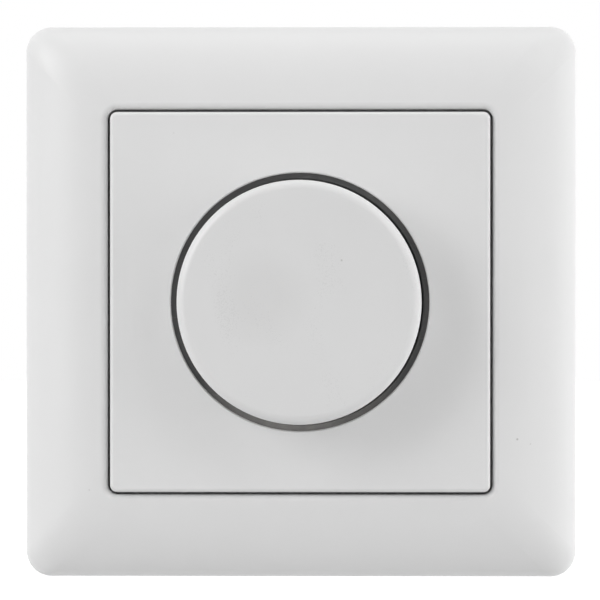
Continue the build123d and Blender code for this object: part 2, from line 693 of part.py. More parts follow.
def fuse_clips():
    """Two sprung U clips, open to the rear, each with a lead through the board."""
    outer = FUSE_R + CLIP_LEG_T
    clips = []
    for x, y in FUSE_PINS:
        clip = Cylinder(outer, FUSE_CLIP_L) - Cylinder(FUSE_R + RUN / 2, FUSE_CAP_L)
        clip -= Pos(0, -outer, 0) * Box(2 * CLIP_MOUTH * FUSE_R, 2 * CLIP_MOUTH * outer, FUSE_CAP_L)
        clip = Pos(0, y, 0) * along_y(clip)
        lead_low = FUSE_Z + FUSE_R + CLIP_LEG_T / 2
        clips.append(clip + post(x, y, PIN, PIN, lead_low, -BOARD_TOP + PIN_TAIL / 2))
    return clips


# Support plate
def ear(side):
    """A tab bent back from the plate, with the hole that a claw's pin turns in."""
    inner = CLAW_W / 2 + EAR_SIDE_GAP
    low_y = HOUSING_H / 2 + EAR_IN
    tab = post(side * (inner + SUPPORT_T / 2), low_y + EAR_W / 2, SUPPORT_T, EAR_W, -EAR_DEEP, SUPPORT_T)
    bend = [e for e in tab.edges().filter_by(Axis.Y) if e.center().Z > 0 and abs(e.center().X) > inner + RUN]
    tab = fillet(bend, EAR_BEND)
    tip = [e for e in tab.edges().filter_by(Axis.X) if e.center().Z < RUN - EAR_DEEP]
    tab = fillet(tip, EAR_W / 3)
    hole = Rot(0, 90, 0) * Cylinder(CLAW_PIN_R + RUN, 3 * SUPPORT_T)
    return tab - Pos(side * (inner + SUPPORT_T / 2), CLAW_PIVOT_Y, -CLAW_PIVOT_DEPTH) * hole


def support_plate():
    plate = block(SUPPORT_SIDE, SUPPORT_SIDE, 0, SUPPORT_T, SUPPORT_CORNER)
    plate -= disc(BUSHING_R + SLIP, -OVER, SUPPORT_T + OVER)
    for side in (-1, 1):
        slot = Pos(side * BOX_SPACING / 2, 0, -OVER) * SlotOverall(BOX_SLOT_L, BOX_SLOT_W)
        plate -= extrude(slot, SUPPORT_T + 2 * OVER)
    for x, y in BOSSES:
        plate -= Pos(x, y, 0) * (disc(HOUSING_SCREW_R + SLIP, -OVER, OVER + SUPPORT_T) + screw_cone(SLIP))
    plate -= Pos(*RIVET_AT, 0) * (disc(RIVET_R + RUN, -OVER, SUPPORT_T + OVER) + rivet_cone(RUN))
    for turn in range(4):
        mark = Pos(SUPPORT_SIDE / 2, 0, SUPPORT_T / 2) * Rot(0, 0, 45) * Box(NOTCH, NOTCH, SUPPORT_T + OVER)
        plate -= turned_about(90 * turn, mark)
    for turn in (0, 180):
        hole = Pos(0, CLAW_SCREW_Y, 0) * disc(CLAW_SCREW_R + SLIP, -OVER, SUPPORT_T + OVER)
        plate -= turned_about(turn, hole)
        for side in (-1, 1):
            low_x = CLAW_W / 2 + EAR_SIDE_GAP
            window = post(side * (low_x + (SUPPORT_T + EAR_WINDOW) / 2), HOUSING_H / 2 + EAR_IN + EAR_W / 2,
                          SUPPORT_T + EAR_WINDOW, EAR_W + 2 * GAP, -OVER, SUPPORT_T + OVER)
            plate -= turned_about(turn, window)
            plate += turned_about(turn, ear(side))
    return plate


def screw_cone(extra):
    """The countersunk head of a housing screw, or the seat for it."""
    low = SUPPORT_T - HOUSING_SCREW_HEAD_H
    return Pos(0, 0, low) * Cone(HOUSING_SCREW_R + extra, HOUSING_SCREW_HEAD + extra, HOUSING_SCREW_HEAD_H,
                                 align=FLAT_DOWN)


def cross_recess(head_r, top):
    """The two crossed slots of a screw's head, cut down from depth top."""
    arm = Box(RECESS_L * head_r, RECESS_W * head_r, 2 * RECESS_DEEP)
    return Pos(0, 0, top) * (arm + Rot(0, 0, 90) * arm)


def housing_screws():
    group = []
    for x, y in BOSSES:
        screw = disc(HOUSING_SCREW_R, SUPPORT_T - HOUSING_SCREW_L, SUPPORT_T - HOUSING_SCREW_HEAD_H)
        screw += screw_cone(0)
        screw -= cross_recess(HOUSING_SCREW_HEAD, SUPPORT_T)
        group.append(Pos(x, y, 0) * screw)
    return group


# Claws: drawn for the top of the insert, and turned half round for the bottom
def claw():
    """A steel fork on two pins: the nut lifts its tongue, and its toes swing out into the box's wall."""
    y, z, half_t = CLAW_PIVOT_Y, -CLAW_PIVOT_DEPTH, CLAW_T / 2
    toe_y = CLAW_TOE * sin(radians(CLAW_TOE_ANGLE))
    toe_z = CLAW_TOE * cos(radians(CLAW_TOE_ANGLE))
    toe = (0, y + toe_y, -CLAW_DEEP - toe_z)
    line = Polyline((0, y + CLAW_TONGUE, z), (0, y, z), (0, y, -CLAW_DEEP), toe)
    strip = make_face(offset(line, half_t, kind=Kind.INTERSECTION, side=Side.BOTH))
    body = extrude(strip, CLAW_W / 2, dir=(1, 0, 0), both=True)
    low = -CLAW_DEEP - CLAW_TOE - OVER
    top = z - half_t - CLAW_T
    body -= post(0, y, CLAW_FORK, 6 * CLAW_TOE, low, top)
    reach = CLAW_ARM - CLAW_SCREW_R - 2 * SLIP
    body -= Pos(0, y + reach, z) * Box(2 * CLAW_SCREW_R + 2 * SLIP, CLAW_TONGUE, 3 * CLAW_T,
                                       align=(Align.CENTER, Align.MIN, Align.CENTER))
    tooth = Rot(0, 45, 0) * Box(CLAW_T, 8 * CLAW_TOE, CLAW_T)
    for side in (-1, 1):
        middle = side * (CLAW_W + CLAW_FORK) / 4
        body -= Pos(middle, y, -CLAW_DEEP - toe_z - half_t) * tooth
    pin = Rot(0, 90, 0) * Cylinder(CLAW_PIN_R, CLAW_W + 2 * EAR_SIDE_GAP + 2 * SUPPORT_T)
    return body + Pos(0, y, z) * pin


def claw_screw():
    head_top = SUPPORT_T + CLAW_HEAD_H
    screw = disc(CLAW_SCREW_R, SUPPORT_T - CLAW_SCREW_L, SUPPORT_T)
    head = disc(CLAW_HEAD_R, SUPPORT_T, head_top)
    head = fillet(head.edges().filter_by(GeomType.CIRCLE).sort_by(Axis.Z)[-1], CLAW_HEAD_H / 3)
    return Pos(0, CLAW_SCREW_Y, 0) * (screw + head - cross_recess(CLAW_HEAD_R, head_top))


def claw_nut():
    barrel = Rot(0, 90, 0) * Cylinder(CLAW_NUT_R, CLAW_NUT_W) - Cylinder(CLAW_SCREW_R + RUN, 3 * CLAW_NUT_R)
    return Pos(0, CLAW_SCREW_Y, CLAW_NUT_Z) * barrel


# Housing
def housing():
    body = block(HOUSING_W, HOUSING_H, HOUSING_LOW, 0, HOUSING_CORNER)
    body -= block(INNER_W, INNER_H, HOUSING_LOW - OVER, OVER, INNER_CORNER)
    shell = block(HOUSING_W, HOUSING_H, HOUSING_LOW, 0, HOUSING_CORNER)
    for x, y in BOSSES:
        boss = Pos(x, y, 0) * disc(BOSS_R, -BOARD_TOP, 0)
        body += boss & shell
        body -= Pos(x, y, 0) * disc(HOUSING_SCREW_R + RUN, -HOUSING_SCREW_L, OVER)
    for sx, y in TERMINALS:
        body -= Pos(sx * HOUSING_W / 2, y, TERMINAL_Z) * Rot(0, 90, 0) * Cylinder(TERMINAL_HEAD_R + GAP,
                                                                                 4 * HOUSING_WALL)
    for side in (-1, 1):
        body -= Pos(0, side * HOUSING_H / 2, HOUSING_LOW + SNAP_UP + SNAP_H / 2) * Box(
            SNAP_W + 2 * GAP, 4 * HOUSING_WALL, SNAP_H + 2 * GAP)
    return body


def rear_cover():
    """Closes the housing; its raised collars guide the wires into the terminals."""
    low = HOUSING_LOW - REAR_T
    body = block(HOUSING_W, HOUSING_H, low, HOUSING_LOW, HOUSING_CORNER)
    body = chamfer(body.faces().sort_by(Axis.Z)[0].outer_wire().edges(), REAR_EDGE)
    rim_top = HOUSING_LOW + SPIGOT_H
    outer = SLIP
    inner = SLIP + SPIGOT_T
    rim = block(INNER_W - 2 * outer, INNER_H - 2 * outer, HOUSING_LOW, rim_top, INNER_CORNER - outer)
    rim -= block(INNER_W - 2 * inner, INNER_H - 2 * inner, HOUSING_LOW, rim_top, INNER_CORNER - inner)
    for sx, y in TERMINALS:
        rim -= post(sx * INNER_W / 2, y, 2 * CAGE_W, CAGE_W + 2 * GAP, HOUSING_LOW, rim_top)
    body += rim
    for x, y in BOSSES:
        body += Pos(x, y, 0) * disc(POST_R, HOUSING_LOW, BOARD_LOW)
    for side in (-1, 1):
        tab_y = side * (INNER_H / 2 - SLIP - SPIGOT_T / 2)
        snap_low = HOUSING_LOW + SNAP_UP
        body += post(0, tab_y, SNAP_W, SPIGOT_T, HOUSING_LOW, snap_low + SNAP_H)
        nib_y = side * (INNER_H / 2 - SLIP + SNAP_REACH / 2)
        body += post(0, nib_y, SNAP_W, SNAP_REACH, snap_low, snap_low + SNAP_H)
    for sx, y in TERMINALS:
        mouth = low - WIRE_COLLAR_H
        collar = disc(WIRE_COLLAR_R, mouth, low)
        bore = disc(WIRE_HOLE_R, mouth - OVER, HOUSING_LOW + OVER)
        lead = Pos(0, 0, mouth) * Cone(WIRE_HOLE_R + WIRE_LEAD, WIRE_HOLE_R, WIRE_LEAD, align=FLAT_DOWN)
        body += Pos(sx * WIRE_X, y, 0) * collar
        body -= Pos(sx * WIRE_X, y, 0) * (bore + lead)
    return body


# Screw terminals, drawn for the right side and turned half round for the left
def placed(sx, y, thing):
    return Pos(0, y, TERMINAL_Z) * turned_about(0 if sx > 0 else 180, thing)


def terminal_cage(sx, y):
    """A brass box that its screw draws outwards, which grips the wire between its inner wall and the bar."""
    deep = BOARD_LOW - PIN_TAIL - HOUSING_LOW - 2 * SLIP
    wide = CAGE_OUT - CAGE_IN
    body = Pos(CAGE_IN + wide / 2, 0, 0) * Box(wide, CAGE_W, deep)
    body = fillet(body.edges().filter_by(Axis.Z), CAGE_EDGE)
    slot = wide - CAGE_THIN - CAGE_THICK
    body -= Pos(CAGE_IN + CAGE_THIN + slot / 2, 0, 0) * Box(slot, CAGE_SLOT_W, deep + OVER)
    thread = Rot(0, 90, 0) * Cylinder(TERMINAL_SCREW_R + RUN, 2 * CAGE_THICK)
    return placed(sx, y, body - Pos(CAGE_OUT, 0, 0) * thread)


def terminal_screw(sx, y):
    """Turns in the housing's side hole, with its tip on the bar."""
    tip = BAR_X + BAR_T / 2 + RUN
    head_low = INNER_W / 2 - SLIP
    screw = disc(TERMINAL_SCREW_R, tip, head_low)
    head = disc(TERMINAL_HEAD_R, head_low, head_low + TERMINAL_HEAD_H)
    head -= cross_recess(TERMINAL_HEAD_R, head_low + TERMINAL_HEAD_H)
    return placed(sx, y, Rot(0, 90, 0) * (screw + head))


def terminal_bar(sx, y):
    """Stands still inside the cage and leads the current up through the board."""
    top = BOARD_LOW - TERMINAL_Z
    low = HOUSING_LOW + OVER - TERMINAL_Z
    body = post(BAR_X, 0, BAR_T, CAGE_SLOT_W - 2 * SLIP, low, top)
    body += post(BAR_X, 0, PIN, PIN, top, top + BOARD_T + PIN_TAIL / 2)
    return placed(sx, y, body)


def write(name, *things):
    """Stands a piece upright, facing -Y, and writes it to its own file."""
    upright = Rot(90, 0, 0)
    solids = [upright * solid for thing in things for solid in thing.solids()]
    whole = solids[0] if len(solids) == 1 else Compound(children=solids)
    export_step(whole, f"parts/{name}.step")


def main():
    os.makedirs("parts", exist_ok=True)
    write("cover_frame", cover_frame())
    write("centre_plate", centre_plate())
    write("plate_carrier", plate_carrier())
    write("carrier_nut", hex_nut(HUB_TOP, CARRIER_NUT_H))
    write("knob", knob())
    write("knob_clip", knob_clip())
    write("pot_shaft", pot_shaft())
    write("bushing_nut", hex_nut(SUPPORT_T + WASHER_T, BUSHING_NUT_H))
    write("lock_washer", lock_washer())
    write("pot_bushing", pot_bushing())
    write("pot_case", pot_case())
    write("pot_track", pot_track())
    write("pot_rotor", pot_rotor())
    write("pot_wiper", pot_wiper())
    write("pot_pins", *pot_pins())
    write("switch_case", switch_case())
    write("switch_plunger", switch_plunger())
    write("contact_bridge", contact_bridge())
    write("fixed_contacts", *fixed_contacts())
    write("return_spring", return_spring())
    write("circuit_board", circuit_board())
    write("triac", triac())
    write("insulating_pad", insulating_pad())
    write("triac_rivet", triac_rivet())
    write("choke_core", choke_core())
    write("choke_winding", *choke_winding())
    write("film_capacitor", film_capacitor())
    write("smoothing_capacitor", smoothing_capacitor())
    write("control_chip", control_chip())
    write("resistors", *resistors())
    write("fuse_tube", fuse_tube())
    write("fuse_caps", *fuse_caps())
    write("fuse_wire", fuse_wire())
    write("fuse_clips", *fuse_clips())
    write("support_plate", support_plate())
    write("housing_screws", *housing_screws())
    for place, turn in (("upper", 0), ("lower", 180)):
        write(f"claw_{place}", turned_about(turn, claw()))
        write(f"claw_screw_{place}", turned_about(turn, claw_screw()))
        write(f"claw_nut_{place}", turned_about(turn, claw_nut()))
    write("housing", housing())
    write("rear_cover", rear_cover())
    for number, (sx, y) in enumerate(TERMINALS, 1):
        write(f"terminal_cage_{number}", terminal_cage(sx, y))
        write(f"terminal_screw_{number}", terminal_screw(sx, y))
    write("terminal_bars", *[terminal_bar(sx, y) for sx, y in TERMINALS])


main()
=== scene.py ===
import json
from math import cos, pi, radians, sin

import bmesh
import bpy
from mathutils import Matrix, Vector


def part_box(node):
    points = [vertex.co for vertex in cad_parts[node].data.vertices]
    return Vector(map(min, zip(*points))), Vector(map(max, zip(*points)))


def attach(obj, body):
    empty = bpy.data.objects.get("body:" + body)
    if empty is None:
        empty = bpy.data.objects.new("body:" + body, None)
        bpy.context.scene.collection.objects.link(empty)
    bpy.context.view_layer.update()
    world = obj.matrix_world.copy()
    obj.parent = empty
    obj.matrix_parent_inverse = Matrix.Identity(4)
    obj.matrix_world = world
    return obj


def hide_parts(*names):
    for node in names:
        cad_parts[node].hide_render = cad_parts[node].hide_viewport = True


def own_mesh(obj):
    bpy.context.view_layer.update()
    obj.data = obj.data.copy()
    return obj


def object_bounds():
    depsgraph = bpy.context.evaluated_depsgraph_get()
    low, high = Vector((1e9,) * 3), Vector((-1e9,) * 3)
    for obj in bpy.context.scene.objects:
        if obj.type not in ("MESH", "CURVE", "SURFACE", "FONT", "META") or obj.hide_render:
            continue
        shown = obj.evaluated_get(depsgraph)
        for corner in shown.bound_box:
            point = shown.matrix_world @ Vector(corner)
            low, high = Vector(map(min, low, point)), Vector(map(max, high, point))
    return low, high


# A flush-mounted rotary dimmer switch, seen from the front. The wall's surface is the plane y = 0, the front
# faces -Y and the top +Z. Every piece and every finish is placed in that frame, in metres.
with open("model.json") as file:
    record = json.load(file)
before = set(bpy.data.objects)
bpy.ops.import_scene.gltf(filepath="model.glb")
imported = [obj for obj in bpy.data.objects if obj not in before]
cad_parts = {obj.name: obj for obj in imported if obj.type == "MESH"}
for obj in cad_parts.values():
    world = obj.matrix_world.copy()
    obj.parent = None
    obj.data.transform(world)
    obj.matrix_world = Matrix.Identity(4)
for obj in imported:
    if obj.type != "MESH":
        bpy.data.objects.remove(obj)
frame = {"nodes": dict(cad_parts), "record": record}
cad_box = [list(corner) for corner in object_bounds()]
nodes = frame["nodes"]

MM = 0.001


# Finishes: small steps that the materials are put together from
def new_material(name, **settings):
    """A principled material, with its plain numbers and colours set on the shader's own sockets."""
    material = bpy.data.materials.new(name)
    material.use_nodes = True
    shader = material.node_tree.nodes["Principled BSDF"]
    for socket, value in settings.items():
        shader.inputs[socket.replace("_", " ")].default_value = value
    return material, material.node_tree, shader


def object_place(tree, stretch=(1, 1, 1), turn=(0, 0, 0)):
    coordinates = tree.nodes.new("ShaderNodeTexCoord")
    mapping = tree.nodes.new("ShaderNodeMapping")
    mapping.inputs["Scale"].default_value = stretch
    mapping.inputs["Rotation"].default_value = turn
    tree.links.new(coordinates.outputs["Object"], mapping.inputs["Vector"])
    return mapping.outputs["Vector"]


def noise(tree, place, grain, detail=3.0, rough=0.5):
    """Noise whose features are about one grain across, in metres."""
    node = tree.nodes.new("ShaderNodeTexNoise")
    node.inputs["Scale"].default_value = 1 / grain
    node.inputs["Detail"].default_value = detail
    node.inputs["Roughness"].default_value = rough
    tree.links.new(place, node.inputs["Vector"])
    return node.outputs["Fac"]


def pits(tree, place, size):
    """Distance from the middle of the nearest of many scattered cells, which are about one size across."""
    node = tree.nodes.new("ShaderNodeTexVoronoi")
    node.inputs["Scale"].default_value = 1 / size
    tree.links.new(place, node.inputs["Vector"])
    return node.outputs["Distance"]


def crystals(tree, place, size):
    """One random level for each of many cells."""
    node = tree.nodes.new("ShaderNodeTexVoronoi")
    node.inputs["Scale"].default_value = 1 / size
    tree.links.new(place, node.inputs["Vector"])
    parts = tree.nodes.new("ShaderNodeSeparateColor")
    tree.links.new(node.outputs["Color"], parts.inputs["Color"])
    return parts.outputs["Red"]


def rib_wave(tree, place, width, direction):
    """Even ridges of the given width."""
    node = tree.nodes.new("ShaderNodeTexWave")
    node.bands_direction = direction
    node.inputs["Scale"].default_value = pi / (10 * width)
    node.inputs["Distortion"].default_value = 0.0
    tree.links.new(place, node.inputs["Vector"])
    return node.outputs["Fac"]


def spread(tree, value, low, high, start=0.3, end=0.7):
    """Maps a value's range from start to end, by default the middle of a noise, on to low to high."""
    node = tree.nodes.new("ShaderNodeMapRange")
    node.inputs["From Min"].default_value = start
    node.inputs["From Max"].default_value = end
    node.inputs["To Min"].default_value = low
    node.inputs["To Max"].default_value = high
    tree.links.new(value, node.inputs["Value"])
    return node.outputs["Result"]


def combine(tree, operation, first, second):
    node = tree.nodes.new("ShaderNodeMath")
    node.operation = operation
    for value, socket in zip((first, second), node.inputs):
        if isinstance(value, (int, float)):
            socket.default_value = value
        else:
            tree.links.new(value, socket)
    return node.outputs["Value"]


def blend_colours(tree, share, first, second):
    """Mixes two colours, each a plain colour or another node's output."""
    node = tree.nodes.new("ShaderNodeMix")
    node.data_type = "RGBA"
    for name, colour in (("A", first), ("B", second)):
        if isinstance(colour, tuple):
            node.inputs[name].default_value = (*colour, 1)
        else:
            tree.links.new(colour, node.inputs[name])
    tree.links.new(share, node.inputs["Factor"])
    return node.outputs["Result"]


def relief(tree, shader, height, depth):
    node = tree.nodes.new("ShaderNodeBump")
    node.inputs["Distance"].default_value = depth
    tree.links.new(height, node.inputs["Height"])
    tree.links.new(node.outputs["Normal"], shader.inputs["Normal"])


def grey(level, warm=0.0):
    return (level * (1 + warm), level, level * (1 - warm))


# Dust as it was seen on the switch: specks on the white mouldings, and on the knob a broad faint spot that is
# painted reflection, each with its place and radius in mm and its share of the spot colour; and a paler lower
# part of the ring
DUST_AND_REFLECTION = grey(0.16, 0.12)
LOWER_PALE = grey(0.42, 0.04)
# The knob's last spot, broad and faint, is painted reflection: a dark patch painted on the knob's face, not
# dust.
KNOB_DUST_AND_REFLECTION = [((6.1, -18.8, 6.0), 0.14, 0.35), ((9.5, -18.8, -14.2), 0.14, 0.2),
             ((-5.4, -18.8, 0.8), 5.5, 0.065)]
COVER_DUST = [((31.5, -8.8, -19.9), 0.15, 0.45), ((33.4, -8.3, -20.6), 0.12, 0.25),
              ((-30.6, -8.9, -27.3), 0.14, 0.18), ((-18.3, -9.8, 24.5), 0.13, 0.1)]


def dark_spots(tree, place, colour, spots):
    """Lays dark spots on a colour: small dust specks, and broad faint spots that are painted reflection."""
    for (x, y, z), radius, share in spots:
        away = tree.nodes.new("ShaderNodeVectorMath")
        away.operation = "DISTANCE"
        away.inputs[1].default_value = (x * MM, y * MM, z * MM)
        tree.links.new(place, away.inputs[0])
        dark_spot = spread(tree, away.outputs["Value"], share, 0.0,
                       start=0.5 * radius * MM, end=1.4 * radius * MM)
        colour = blend_colours(tree, dark_spot, colour, DUST_AND_REFLECTION)
    return colour


def paler_below(tree, place, colour, share, low, high):
    """Makes the lower part of a slot paler in patches, most at the low height and none above the high one."""
    parts = tree.nodes.new("ShaderNodeSeparateXYZ")
    tree.links.new(place, parts.inputs["Vector"])
    depth = spread(tree, parts.outputs["Z"], share, 0.0, start=low, end=high)
    patches = spread(tree, noise(tree, place, 1.5 * MM), 0.7, 1.0)
    return blend_colours(tree, combine(tree, "MULTIPLY", depth, patches), colour, LOWER_PALE)


def white_moulding(name, pale, dark, gloss, spots):
    """Satin white plastic: slow drifts in colour, handling marks in the gloss, a fine grain, dust and painted
    reflection.
    """
    material, tree, shader = new_material(name, IOR=1.52)
    place = object_place(tree)
    colour = blend_colours(tree, spread(tree, noise(tree, place, 14 * MM, detail=2.0), 0, 1), pale, dark)
    tree.links.new(dark_spots(tree, place, colour, spots), shader.inputs["Base Color"])
    wiped = object_place(tree, (1, 1, 0.4), (0, 0.6, 0))
    handled = spread(tree, noise(tree, wiped, 6 * MM, detail=5.0), -0.03, 0.05)
    fine = spread(tree, noise(tree, place, 0.16 * MM, detail=2.0), gloss[0], gloss[1])
    tree.links.new(combine(tree, "ADD", handled, fine), shader.inputs["Roughness"])
    relief(tree, shader, noise(tree, place, 0.12 * MM, detail=2.0), 0.0025 * MM)
    return material


def dark_moulding(name, pale, dark, gloss, grain=0.16 * MM, depth=0.012 * MM, paler_low=None):
    """Matt engineering plastic with an eroded texture, flow lines, pale scuffs and perhaps a paler lower
    part.
    """
    material, tree, shader = new_material(name, IOR=1.53)
    place = object_place(tree)
    flow = noise(tree, object_place(tree, (1, 0.25, 1)), 9 * MM, detail=5.0)
    colour = blend_colours(tree, spread(tree, flow, 0, 1), pale, dark)
    scratched = object_place(tree, (1, 1, 6), (0.3, 0.5, 0))
    scuff = spread(tree, noise(tree, scratched, 3 * MM, detail=8.0), 0, 0.5, start=0.62, end=0.8)
    scuffed = tuple(min(1.0, 2.2 * level) for level in pale)
    colour = blend_colours(tree, scuff, colour, scuffed)
    if paler_low:
        colour = paler_below(tree, place, colour, *paler_low)
    tree.links.new(colour, shader.inputs["Base Color"])
    texture = combine(tree, "ADD", noise(tree, place, grain, detail=3.0), pits(tree, place, 1.8 * grain))
    tree.links.new(spread(tree, flow, gloss[0], gloss[1]), shader.inputs["Roughness"])
    relief(tree, shader, texture, depth)
    return material


def plated_sheet(name, pale, dark, gloss, direction=(1, 14, 14)):
    """Rolled steel under bright zinc: faint crystals, rolling lines and a cloudy passivation."""
    material, tree, shader = new_material(name, Metallic=1.0)
    place = object_place(tree)
    cloud = noise(tree, place, 5 * MM, detail=4.0)
    rolled = noise(tree, object_place(tree, direction), 4 * MM, detail=6.0)
    base = blend_colours(tree, spread(tree, cloud, 0, 1), pale, dark)
    tint = (pale[0] * 1.05, pale[1], pale[2] * 0.88)
    passive = spread(tree, noise(tree, place, 9 * MM, detail=2.0), 0, 0.5)
    base = blend_colours(tree, passive, base, tint)
    crystal = spread(tree, crystals(tree, place, 1.3 * MM), 0, 0.25, start=0.0, end=1.0)
    tree.links.new(blend_colours(tree, crystal, base, dark), shader.inputs["Base Color"])
    tree.links.new(spread(tree, combine(tree, "MULTIPLY", cloud, rolled), gloss[0], gloss[1], 0.12, 0.4),
                   shader.inputs["Roughness"])
    relief(tree, shader, rolled, 0.006 * MM)
    return material


def turned_metal(name, pale, dark, gloss, tool_mark=0.09 * MM, along="Y"):
    """Bright turned or drawn metal with fine tool marks across its length and a little tarnish."""
    material, tree, shader = new_material(name, Metallic=1.0)
    place = object_place(tree)
    tarnish = noise(tree, place, 2.5 * MM, detail=6.0, rough=0.6)
    tree.links.new(blend_colours(tree, spread(tree, tarnish, 0, 1), pale, dark), shader.inputs["Base Color"])
    tree.links.new(spread(tree, tarnish, gloss[0], gloss[1]), shader.inputs["Roughness"])
    relief(tree, shader, rib_wave(tree, place, tool_mark, along), 0.0025 * MM)
    return material


def enamelled_wire(name, copper, varnish):
    """Copper under a clear glossy varnish."""
    material, tree, shader = new_material(name, Metallic=1.0, Roughness=0.3, Coat_Weight=0.8,
                                          Coat_Roughness=0.08, Coat_IOR=1.6)
    place = object_place(tree)
    tone = spread(tree, noise(tree, place, 1.2 * MM, detail=4.0), 0, 1)
    tree.links.new(blend_colours(tree, tone, copper, varnish), shader.inputs["Base Color"])
    relief(tree, shader, noise(tree, place, 0.3 * MM), 0.006 * MM)
    return material


def bonded_board(name, resin, fibre):
    """Paper board: short fibres in brown resin under a thin solder lacquer."""
    material, tree, shader = new_material(name, Coat_Weight=0.5, Coat_Roughness=0.2)
    fibres = noise(tree, object_place(tree, (1, 1, 9), (0, 0.5, 0)), 0.9 * MM, detail=6.0)
    cloud = noise(tree, object_place(tree), 6 * MM)
    tone = combine(tree, "MULTIPLY", spread(tree, fibres, 0, 1), spread(tree, cloud, 0.4, 1))
    tree.links.new(blend_colours(tree, tone, resin, fibre), shader.inputs["Base Color"])
    tree.links.new(spread(tree, fibres, 0.42, 0.6), shader.inputs["Roughness"])
    relief(tree, shader, fibres, 0.01 * MM)
    return material


def pressed_powder(name, pale, dark):
    """Iron powder pressed to a core, with coarse bright and dark grains."""
    material, tree, shader = new_material(name, Metallic=0.2)
    place = object_place(tree)
    grains = crystals(tree, place, 0.22 * MM)
    tree.links.new(blend_colours(tree, grains, pale, dark), shader.inputs["Base Color"])
    tree.links.new(spread(tree, grains, 0.5, 0.85, 0, 1), shader.inputs["Roughness"])
    relief(tree, shader, pits(tree, place, 0.3 * MM), 0.03 * MM)
    return material


def dipped_resin(name, pale, dark, gloss, skin=1.6 * MM, depth=0.03 * MM, **settings):
    """A glossy cast, dipped or sleeved skin with a slight orange peel."""
    material, tree, shader = new_material(name, Coat_Weight=0.4, Coat_Roughness=0.12, **settings)
    place = object_place(tree)
    cloud = noise(tree, place, 4 * MM, detail=3.0)
    tree.links.new(blend_colours(tree, spread(tree, cloud, 0, 1), pale, dark), shader.inputs["Base Color"])
    tree.links.new(spread(tree, cloud, gloss[0], gloss[1]), shader.inputs["Roughness"])
    relief(tree, shader, noise(tree, place, skin, detail=1.0), depth)
    return material


def clear_glass(name):
    material, tree, shader = new_material(name, Transmission_Weight=1.0, IOR=1.5)
    place = object_place(tree)
    film = noise(tree, place, 3 * MM, detail=4.0)
    tree.links.new(blend_colours(tree, spread(tree, film, 0, 1), grey(0.97), (0.93, 0.96, 0.95)),
                   shader.inputs["Base Color"])
    tree.links.new(spread(tree, film, 0.01, 0.05), shader.inputs["Roughness"])
    return material


def woven_pad(name, pale, dark, thread=0.35 * MM):
    """Silicone rubber on a glass weave that shows through."""
    material, tree, shader = new_material(name, Roughness=0.68)
    place = object_place(tree)
    weave = combine(tree, "MULTIPLY", rib_wave(tree, place, thread, "X"), rib_wave(tree, place, thread, "Z"))
    tree.links.new(blend_colours(tree, weave, dark, pale), shader.inputs["Base Color"])
    relief(tree, shader, weave, 0.03 * MM)
    return material


def screened_carbon(name, pale, dark):
    """Carbon ink: matt and speckled, and polished in rings where the wiper runs round."""
    material, tree, shader = new_material(name)
    place = object_place(tree)
    speckle = noise(tree, place, 0.15 * MM, detail=3.0)
    tree.links.new(blend_colours(tree, spread(tree, speckle, 0, 1), pale, dark), shader.inputs["Base Color"])
    rings = tree.nodes.new("ShaderNodeTexWave")
    rings.wave_type = "RINGS"
    rings.rings_direction = "Y"
    rings.inputs["Scale"].default_value = 1 / (6 * MM)
    tree.links.new(place, rings.inputs["Vector"])
    tree.links.new(spread(tree, rings.outputs["Fac"], 0.55, 0.3, 0, 1), shader.inputs["Roughness"])
    return material


def make_finishes():
    """One material for each of the record's slots, and one for the dish behind the knob, whose dark rim is
    partly painted shade.
    """
    return {
        "white_cover": white_moulding("white_cover", grey(0.785), grey(0.775), (0.34, 0.42), COVER_DUST),
        "white_knob": white_moulding("white_knob", grey(0.76), grey(0.745), (0.27, 0.35), KNOB_DUST_AND_REFLECTION),
        # The rim's dark colour is partly painted shade, which stands in for the shade in the gap round the
        # knob.
        "ring_plastic_and_shade": dark_moulding("ring_plastic_and_shade", grey(0.115), grey(0.1), (0.45, 0.6),
                                      paler_low=(0.8, -18.5 * MM, -11.0 * MM)),
        "dark_plastic": dark_moulding("dark_plastic", grey(0.055), grey(0.042), (0.48, 0.62)),
        "grey_plastic": dark_moulding("grey_plastic", grey(0.24), grey(0.19), (0.42, 0.55)),
        "zinc_steel": plated_sheet("zinc_steel", (0.54, 0.56, 0.59), (0.44, 0.46, 0.49), (0.26, 0.46)),
        "steel_screw": turned_metal("steel_screw", (0.70, 0.71, 0.73), (0.55, 0.56, 0.59), (0.2, 0.36)),
        "brass": turned_metal("brass", (0.84, 0.64, 0.31), (0.66, 0.45, 0.19), (0.22, 0.4), along="X"),
        "spring_steel": turned_metal("spring_steel", (0.56, 0.56, 0.58), (0.40, 0.40, 0.43), (0.22, 0.34)),
        "copper_wire": enamelled_wire("copper_wire", (0.78, 0.33, 0.14), (0.52, 0.16, 0.06)),
        "ferrite": pressed_powder("ferrite", grey(0.14), grey(0.06)),
        "board": bonded_board("board", (0.26, 0.15, 0.05), (0.42, 0.28, 0.12)),
        "black_epoxy": dark_moulding("black_epoxy", grey(0.035), grey(0.024), (0.4, 0.55),
                                     grain=0.1 * MM, depth=0.008 * MM),
        "film_capacitor": dipped_resin("film_capacitor", (0.78, 0.52, 0.07), (0.66, 0.40, 0.04), (0.2, 0.32)),
        "capacitor_sleeve": dipped_resin("capacitor_sleeve", (0.02, 0.05, 0.17), (0.015, 0.03, 0.11),
                                         (0.18, 0.3)),
        "resistor_body": dipped_resin("resistor_body", (0.30, 0.50, 0.62), (0.22, 0.40, 0.52), (0.25, 0.4),
                                      skin=0.5 * MM),
        "glass": clear_glass("glass"),
        "insulator": woven_pad("insulator", grey(0.50), grey(0.36)),
        "carbon_track": screened_carbon("carbon_track", grey(0.035), grey(0.02)),
    }


finishes = make_finishes()


